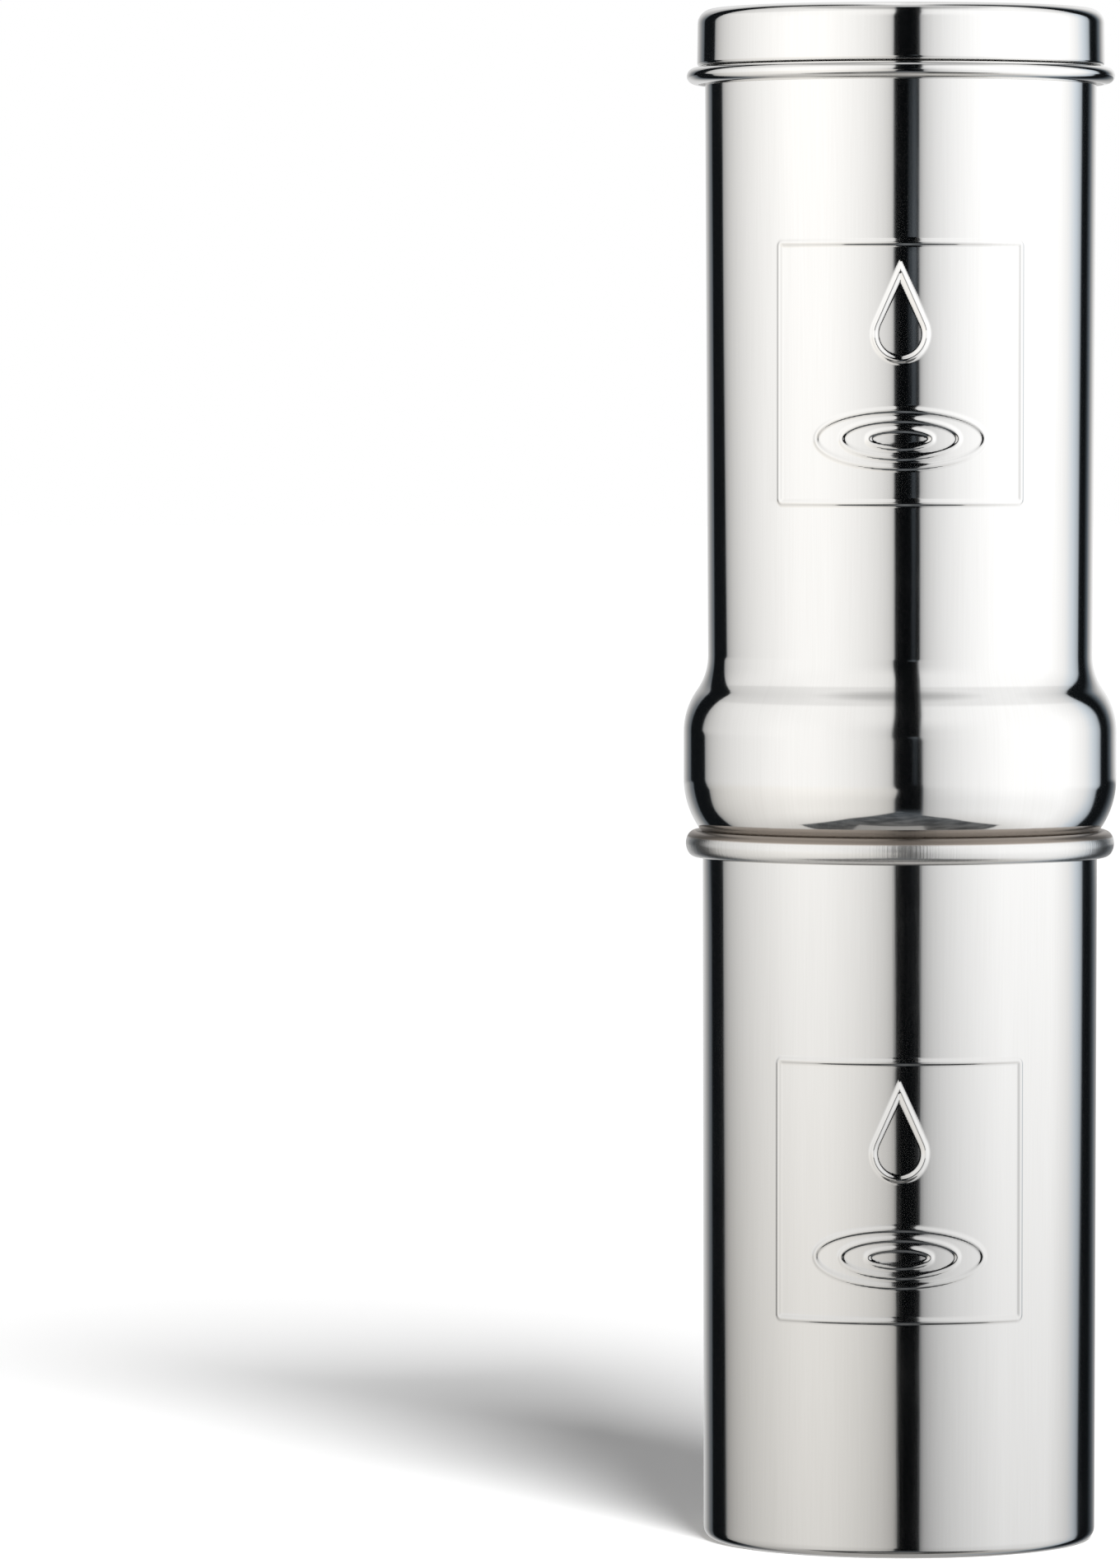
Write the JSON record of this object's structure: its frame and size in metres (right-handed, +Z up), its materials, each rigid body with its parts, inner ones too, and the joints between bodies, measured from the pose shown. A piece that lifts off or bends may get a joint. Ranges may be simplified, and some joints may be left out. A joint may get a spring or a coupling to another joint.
{
  "type": "gravity water filter",
  "caption": "Two stacked polished steel chambers with a flat lid, ceramic candles between them and a lever tap low on the lower chamber.",
  "frame": {"origin": "centre of the underside of the lower chamber, on the axis of the chambers", "axes": "+Z up along the axis of the chambers; the raised panels face -Y and the tap stands out at +Y"},
  "size_m": [0.1602, 0.2127, 0.5661],
  "materials": {
    "polished_steel": "mirror-polished stainless steel",
    "tap_chrome": "polished chrome plating on brass",
    "seal_rubber": "matt moulded rubber",
    "stem_brass": "turned brass",
    "cup_silicone": "translucent white silicone",
    "spring_steel": "drawn stainless wire",
    "lever_plastic": "black moulded plastic",
    "candle_ceramic": "unglazed cream-white ceramic",
    "candle_carbon": "pressed carbon block",
    "mount_plastic": "white moulded plastic"
  },
  "bodies": {
    "lower": {"lower_chamber": "polished_steel", "tap_body": "tap_chrome", "tap_outer_washer": "seal_rubber", "tap_inner_washer": "seal_rubber", "tap_back_nut": "tap_chrome", "tap_bonnet": "tap_chrome", "tap_spring": "spring_steel"},
    "upper": {"upper_chamber": "polished_steel", "left_candle_shell": "candle_ceramic", "left_candle_core": "candle_carbon", "left_candle_base": "mount_plastic", "left_candle_washer": "seal_rubber", "left_candle_wing_nut": "mount_plastic", "right_candle_shell": "candle_ceramic", "right_candle_core": "candle_carbon", "right_candle_base": "mount_plastic", "right_candle_washer": "seal_rubber", "right_candle_wing_nut": "mount_plastic"},
    "lid": {"lid": "polished_steel"},
    "tap_valve": {"tap_stem": "stem_brass", "tap_seat_cup": "cup_silicone", "tap_lever_pin": "spring_steel"},
    "tap_handle": {"tap_lever": "lever_plastic"}
  },
  "joints": [
    {"name": "upper_lift", "type": "slide", "parent": "lower", "child": "upper", "axis": [0, 0, 1], "range_m": [0, 0.15]},
    {"name": "lid_lift", "type": "slide", "parent": "upper", "child": "lid", "axis": [0, 0, 1], "range_m": [0, 0.1]},
    {"name": "valve_lift", "type": "slide", "parent": "lower", "child": "tap_valve", "axis": [0, 0, 1], "range_m": [0, 0.0035], "deforming": ["tap_spring"]},
    {"name": "lever_tilt", "type": "hinge", "parent": "tap_valve", "child": "tap_handle", "pos_m": [0, 0.09658, 0.064], "axis": [-1, 0, 0], "range_deg": [0, 25], "stiffness_Nm_per_rad": 0.06, "springref_deg": -17.19}
  ],
  "couplings": [
    {"joint": "valve_lift", "follows": "lever_tilt", "m_per_rad": 0.007978}
  ]
}
